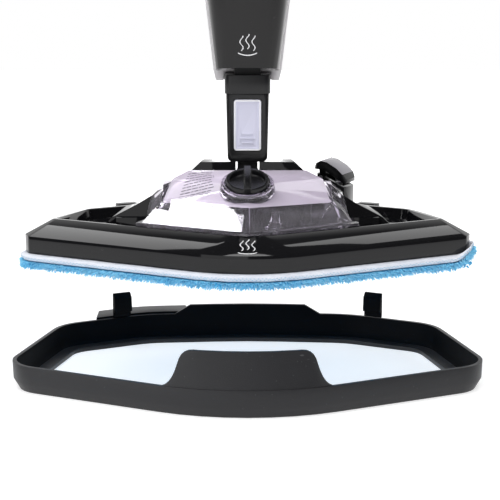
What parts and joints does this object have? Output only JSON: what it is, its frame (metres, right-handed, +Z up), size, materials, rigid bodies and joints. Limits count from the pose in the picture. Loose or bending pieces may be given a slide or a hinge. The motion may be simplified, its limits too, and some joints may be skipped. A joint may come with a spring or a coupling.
{
  "type": "steam mop",
  "caption": "Upright steam mop: hinged floor head with clear tank and microfibre pad, held above its clip-on carpet glider, with steam unit, pole and grip.",
  "frame": {"origin": "on the floor under the glider, at the middle of the object's outline seen from above", "axes": "+Z up along the pole, +Y to the back of the mop, +X to the right seen from the front"},
  "size_m": [0.3332, 0.2342, 1.2693],
  "materials": {
    "gloss_black": "glossy moulded black plastic",
    "satin_black": "fine textured black plastic",
    "inner_black": "plain black moulding",
    "button_grey": "light grey satin plastic",
    "smoke_grey": "dark translucent grey plastic",
    "clear": "clear plastic with a faint lilac tint",
    "smoke_lens": "smoked lens",
    "pad_white": "white knitted backing",
    "pile_blue": "bright blue cut microfibre pile",
    "tape": "hook tape",
    "rubber": "soft black rubber",
    "steel": "bright steel",
    "boiler_steel": "cast boiler",
    "pole": "satin anodised tube"
  },
  "bodies": {
    "floor_head": {"head_housing": "gloss_black", "base_plate": "inner_black", "pad_backing": "pad_white", "pad_pile": "pile_blue", "hook_tape_left": "tape", "hook_tape_right": "tape", "hook_tape_front": "tape", "base_screw_1": "steel", "base_screw_2": "steel", "base_screw_3": "steel", "base_screw_4": "steel", "steam_bar": "inner_black", "head_hose": "rubber", "tank_dock_seal": "rubber", "tilt_axle": "steel", "pedal_pin": "steel", "pedal_spring": "steel"},
    "glider": {"glider_frame": "satin_black", "glider_clip_left": "satin_black", "glider_clip_right": "satin_black"},
    "head_tank": {"tank_shell": "clear", "tank_base": "clear", "filler_collar": "clear", "outlet_valve": "clear", "air_valve": "clear"},
    "cap_seal": {"cap_gasket": "rubber"},
    "cap": {"filler_cap": "satin_black"},
    "pedal": {"pedal_plate": "smoke_grey"},
    "knuckle": {"tilt_knuckle": "satin_black", "swing_pin": "steel"},
    "neck": {"neck_front_shell": "gloss_black", "neck_rear_shell": "gloss_black", "neck_collar": "satin_black", "button_spring": "steel"},
    "button": {"release_button": "button_grey"},
    "steam_unit": {"unit_front_cover": "gloss_black", "unit_rear_cover": "gloss_black", "unit_core": "inner_black", "boiler": "boiler_steel", "water_pump": "inner_black", "control_board": "inner_black", "pilot_lamp": "smoke_lens", "lower_cord_hook": "satin_black", "cord_inlet": "rubber", "pole_tube": "pole", "pole_collar": "satin_black", "grip_left": "satin_black", "grip_right": "satin_black", "trigger_pin": "steel", "trigger_spring": "steel"},
    "water_tank": {"unit_tank": "clear", "unit_tank_plug": "rubber"},
    "dial": {"steam_dial": "button_grey"},
    "trigger": {"steam_trigger": "button_grey"},
    "cord_hook": {"upper_cord_hook": "satin_black"}
  },
  "joints": [
    {"name": "glider_lift", "type": "slide", "parent": "floor_head", "child": "glider", "axis": [0, 0, 1], "range_m": [0, 0.0845]},
    {"name": "head_tank_lift", "type": "slide", "parent": "floor_head", "child": "head_tank", "axis": [0, 0, 1], "range_m": [0, 0.05]},
    {"name": "cap_lift", "type": "slide", "parent": "head_tank", "child": "cap_seal", "axis": [0, -0.3714, 0.9285], "range_m": [0, 0.03]},
    {"name": "cap_turn", "type": "hinge", "parent": "cap_seal", "child": "cap", "pos_m": [0, -0.03867, 0.1426], "axis": [0, -0.3714, 0.9285], "range_deg": [0, 90]},
    {"name": "pedal_press", "type": "hinge", "parent": "floor_head", "child": "pedal", "pos_m": [0.05899, 0.06734, 0.1343], "axis": [0.4478, 0.8942, 0], "range_deg": [0, 6], "stiffness_Nm_per_rad": 2, "springref_deg": -2.86, "deforming": ["pedal_spring"]},
    {"name": "neck_tilt", "type": "hinge", "parent": "floor_head", "child": "knuckle", "pos_m": [0, 0.01233, 0.14], "axis": [1, 0, 0], "range_deg": [-80, 0]},
    {"name": "neck_swing", "type": "hinge", "parent": "knuckle", "child": "neck", "pos_m": [0, 0.01233, 0.159], "axis": [0, 1, 0], "range_deg": [-20, 20]},
    {"name": "button_press", "type": "slide", "parent": "neck", "child": "button", "axis": [0, 1, 0], "range_m": [0, 0.0025], "stiffness_N_per_m": 600, "springref_m": -0.001, "deforming": ["button_spring"]},
    {"name": "unit_lift", "type": "slide", "parent": "neck", "child": "steam_unit", "axis": [0, 0, 1], "range_m": [0, 0.07]},
    {"name": "water_tank_pull", "type": "slide", "parent": "steam_unit", "child": "water_tank", "axis": [0, 1, 0], "range_m": [0, 0.08]},
    {"name": "dial_turn", "type": "hinge", "parent": "steam_unit", "child": "dial", "pos_m": [0, -0.00767, 0.4313], "axis": [0, 1, 0], "range_deg": [-120, 120]},
    {"name": "trigger_squeeze", "type": "hinge", "parent": "steam_unit", "child": "trigger", "pos_m": [0, -0.00367, 1.2193], "axis": [1, 0, 0], "range_deg": [-5, 0], "stiffness_Nm_per_rad": 0.3, "springref_deg": 3.44, "deforming": ["trigger_spring"]},
    {"name": "cord_hook_turn", "type": "hinge", "parent": "steam_unit", "child": "cord_hook", "pos_m": [0, -0.00567, 1.0893], "axis": [0, 1, 0], "range_deg": [0, 180]}
  ]
}
